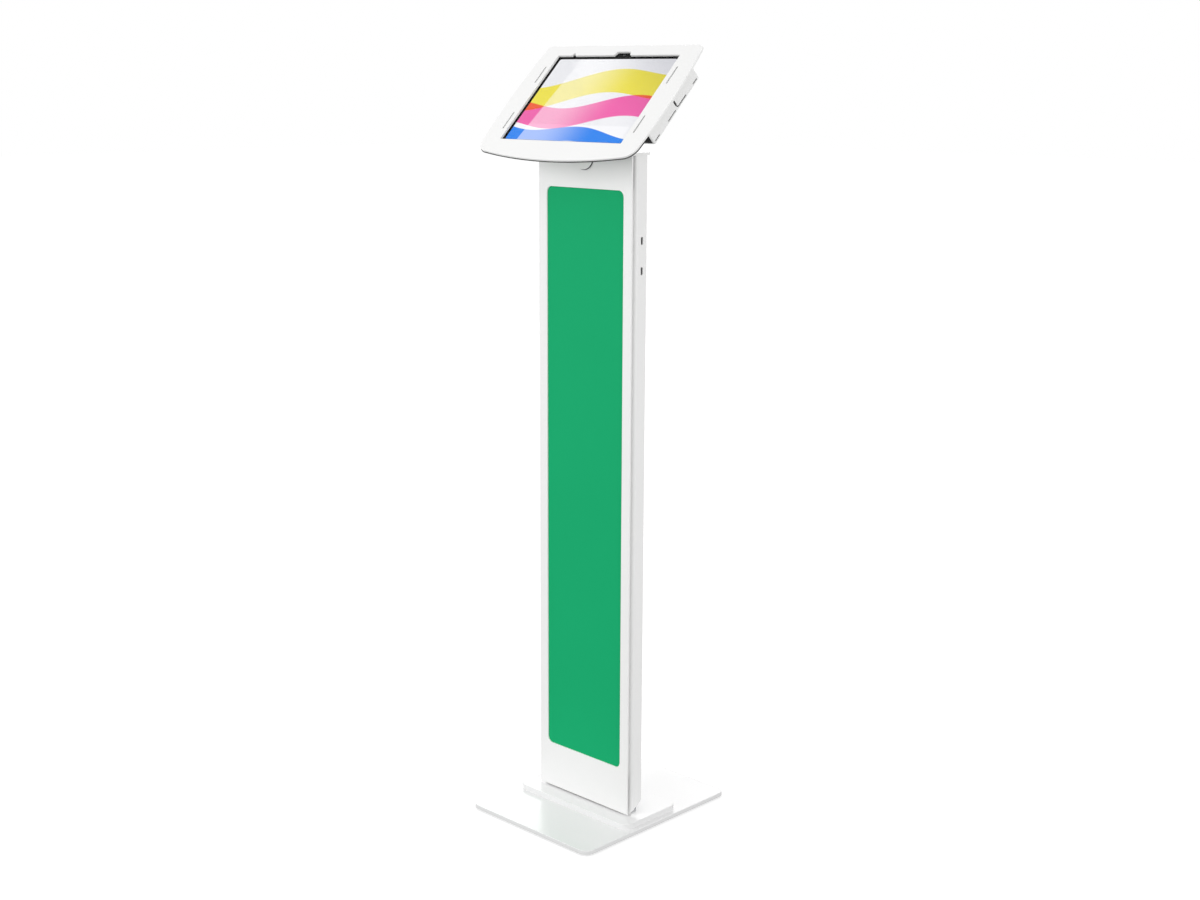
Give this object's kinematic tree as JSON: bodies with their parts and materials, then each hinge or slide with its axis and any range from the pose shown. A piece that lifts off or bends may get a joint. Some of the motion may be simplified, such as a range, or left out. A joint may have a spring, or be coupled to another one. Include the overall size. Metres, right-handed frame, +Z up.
{
  "type": "tablet kiosk stand",
  "caption": "Free-standing tablet kiosk: flat steel base, slim column with a framed insert, and a tilted enclosure that swivels, hinges open and locks.",
  "frame": {"origin": "on the floor under the middle of the base", "axes": "+Z up along the column, +Y to the rear, the screen and the insert face -Y"},
  "size_m": [0.307, 0.3, 1.1062],
  "materials": {
    "coated_steel": "satin powder coat, white",
    "zinc_steel": "zinc plated",
    "bush_brass": "turned",
    "lock_chrome": "polished",
    "slide_plastic": "plain, low friction",
    "soft_rubber": "matt",
    "insert_board": "smooth printed board, plain green",
    "tablet_metal": "fine blasted and anodised",
    "display_panel": "lit display, mostly white",
    "cover_glass": "clear polished"
  },
  "bodies": {
    "stand": {"base_plate": "coated_steel", "foot_plate": "coated_steel", "rubber_feet": "soft_rubber", "base_screws": "zinc_steel", "root_bolts": "zinc_steel", "column_root": "zinc_steel", "root_screws": "zinc_steel", "column_channel": "coated_steel", "front_panel": "coated_steel", "panel_spacers": "zinc_steel", "panel_nuts": "zinc_steel", "insert_rail_left": "coated_steel", "insert_rail_right": "coated_steel", "insert_stop": "coated_steel", "graphic_insert": "insert_board", "rear_cover": "coated_steel", "cover_clips": "zinc_steel", "cover_screws": "zinc_steel", "top_plate": "zinc_steel", "top_cap": "coated_steel", "neck_bracket": "coated_steel", "neck_screws": "zinc_steel", "tongue_spacer": "zinc_steel", "tongue_nut": "zinc_steel", "slide_washer": "slide_plastic", "stop_pin": "zinc_steel", "wave_washer": "zinc_steel"},
    "housing": {"swivel_plate": "zinc_steel", "swivel_screws": "zinc_steel", "pivot_bush": "bush_brass", "ring_nut": "zinc_steel", "rear_box": "coated_steel", "cable_seal": "soft_rubber", "tablet_tray": "coated_steel", "tray_screws": "zinc_steel", "tray_hinge_lugs": "coated_steel", "hinge_pins": "zinc_steel", "tablet_pads": "soft_rubber", "tray_bumpers": "soft_rubber", "lock_body": "lock_chrome", "lock_nut": "zinc_steel", "tablet_shell": "tablet_metal", "tablet_display": "display_panel", "tablet_glass": "cover_glass"},
    "lid": {"front_frame": "coated_steel", "frame_hasp": "zinc_steel", "frame_hinge_lugs": "coated_steel"},
    "lock": {"lock_plug": "lock_chrome", "lock_cam": "zinc_steel", "cam_screw": "zinc_steel"},
    "power_key": {"power_button": "tablet_metal"},
    "volume_up_key": {"volume_up_button": "tablet_metal"},
    "volume_down_key": {"volume_down_button": "tablet_metal"}
  },
  "joints": [
    {"name": "head_swivel", "type": "hinge", "parent": "stand", "child": "housing", "pos_m": [0, 0.0107, 1.01933], "axis": [0, -0.7071, 0.7071], "range_deg": [0, 90]},
    {"name": "frame_opening", "type": "hinge", "parent": "housing", "child": "lid", "pos_m": [0, 0.04351, 1.09994], "axis": [-1, 0, 0], "range_deg": [0, 100]},
    {"name": "lock_turn", "type": "hinge", "parent": "housing", "child": "lock", "pos_m": [-0.1142, -0.03194, 0.99691], "axis": [0, -0.7071, -0.7071], "range_deg": [0, 90]},
    {"name": "power_press", "type": "slide", "parent": "housing", "child": "power_key", "axis": [1, 0, 0], "range_m": [0, 0.0003], "stiffness_N_per_m": 1200},
    {"name": "volume_up_press", "type": "slide", "parent": "housing", "child": "volume_up_key", "axis": [0, 0.7071, 0.7071], "range_m": [0, 0.0003], "stiffness_N_per_m": 1200},
    {"name": "volume_down_press", "type": "slide", "parent": "housing", "child": "volume_down_key", "axis": [0, 0.7071, 0.7071], "range_m": [0, 0.0003], "stiffness_N_per_m": 1200}
  ]
}
